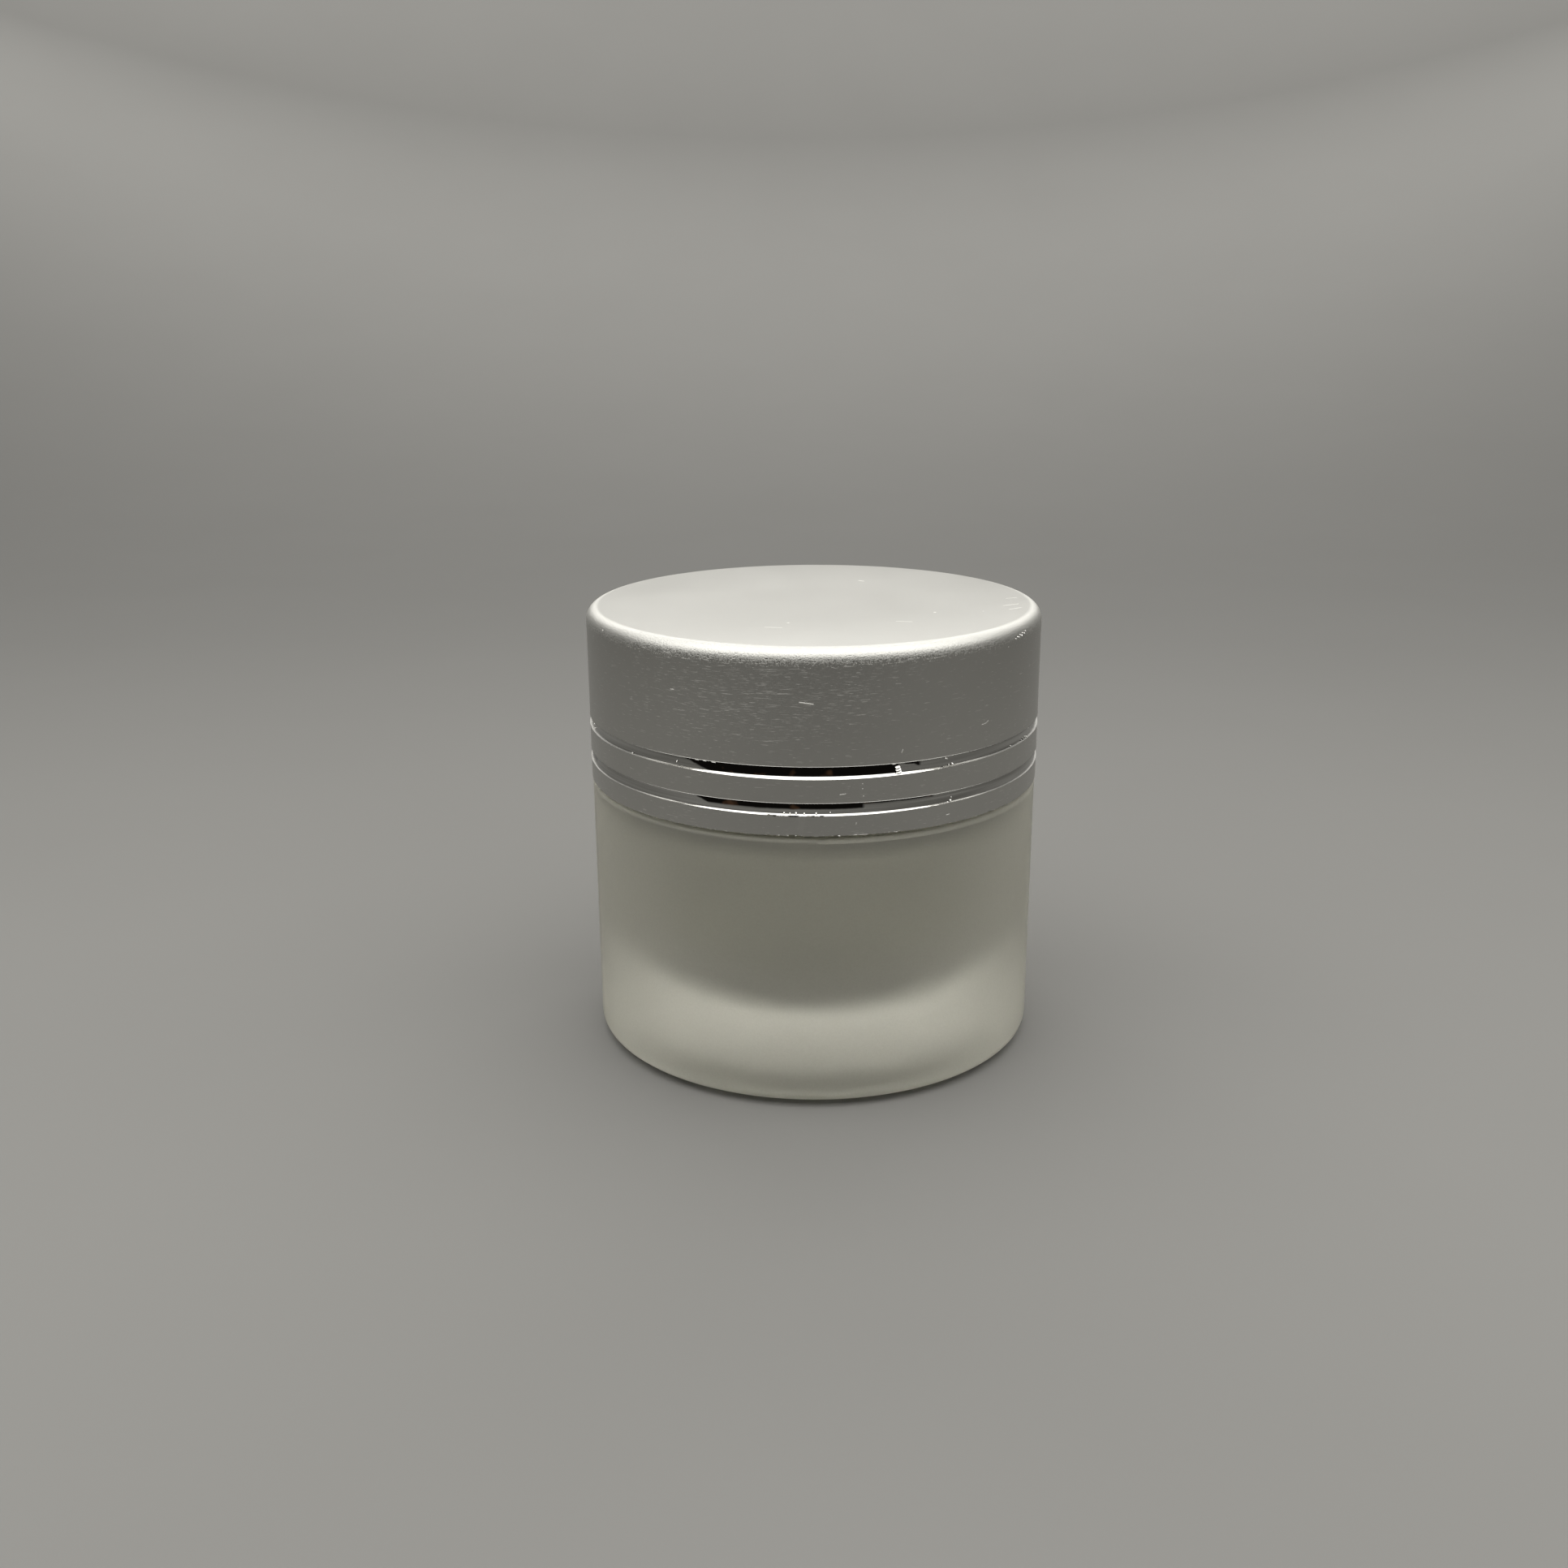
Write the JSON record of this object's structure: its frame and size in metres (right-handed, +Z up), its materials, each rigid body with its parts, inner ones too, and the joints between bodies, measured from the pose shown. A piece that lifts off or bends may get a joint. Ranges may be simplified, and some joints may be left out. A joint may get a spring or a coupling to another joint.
{
  "type": "lidded salon jar",
  "caption": "Small round frosted glass jar with a heavy base, a sealing disc and a satin aluminium screw cap, for salon liquids and creams.",
  "frame": {"origin": "on the jar's axis, in the plane that the jar stands on", "axes": "+Z up along the jar's axis, out of its mouth; +X is where the neck's thread starts at its lower end"},
  "size_m": [0.05, 0.05, 0.049],
  "materials": {
    "frosted_glass": "acid-frosted outside, clear inside",
    "natural_plastic": "natural polypropylene",
    "foam": "closed-cell foam",
    "white_plastic": "moulded polypropylene",
    "satin_aluminium": "satin anodised, two bright-cut grooves"
  },
  "bodies": {
    "jar": {"glass_jar": "frosted_glass"},
    "disc": {"sealing_disc": "natural_plastic"},
    "liner": {"foam_liner": "foam"},
    "cap": {"cap_insert": "white_plastic", "cap_shell": "satin_aluminium"}
  },
  "joints": [
    {"name": "cap_rise", "type": "slide", "parent": "jar", "child": "liner", "axis": [0, 0, 1], "range_m": [0, 0.024]},
    {"name": "cap_turn", "type": "hinge", "parent": "liner", "child": "cap", "pos_m": [0, 0, 0.03], "axis": [0, 0, 1], "range_deg": [0, 2160]},
    {"name": "disc_lift", "type": "slide", "parent": "jar", "child": "disc", "axis": [0, 0, 1], "range_m": [0, 0.004]}
  ],
  "couplings": [
    {"joint": "cap_rise", "follows": "cap_turn", "m_per_rad": 0.00063662},
    {"joint": "disc_lift", "follows": "cap_turn", "m_per_rad": 0.0001061}
  ]
}
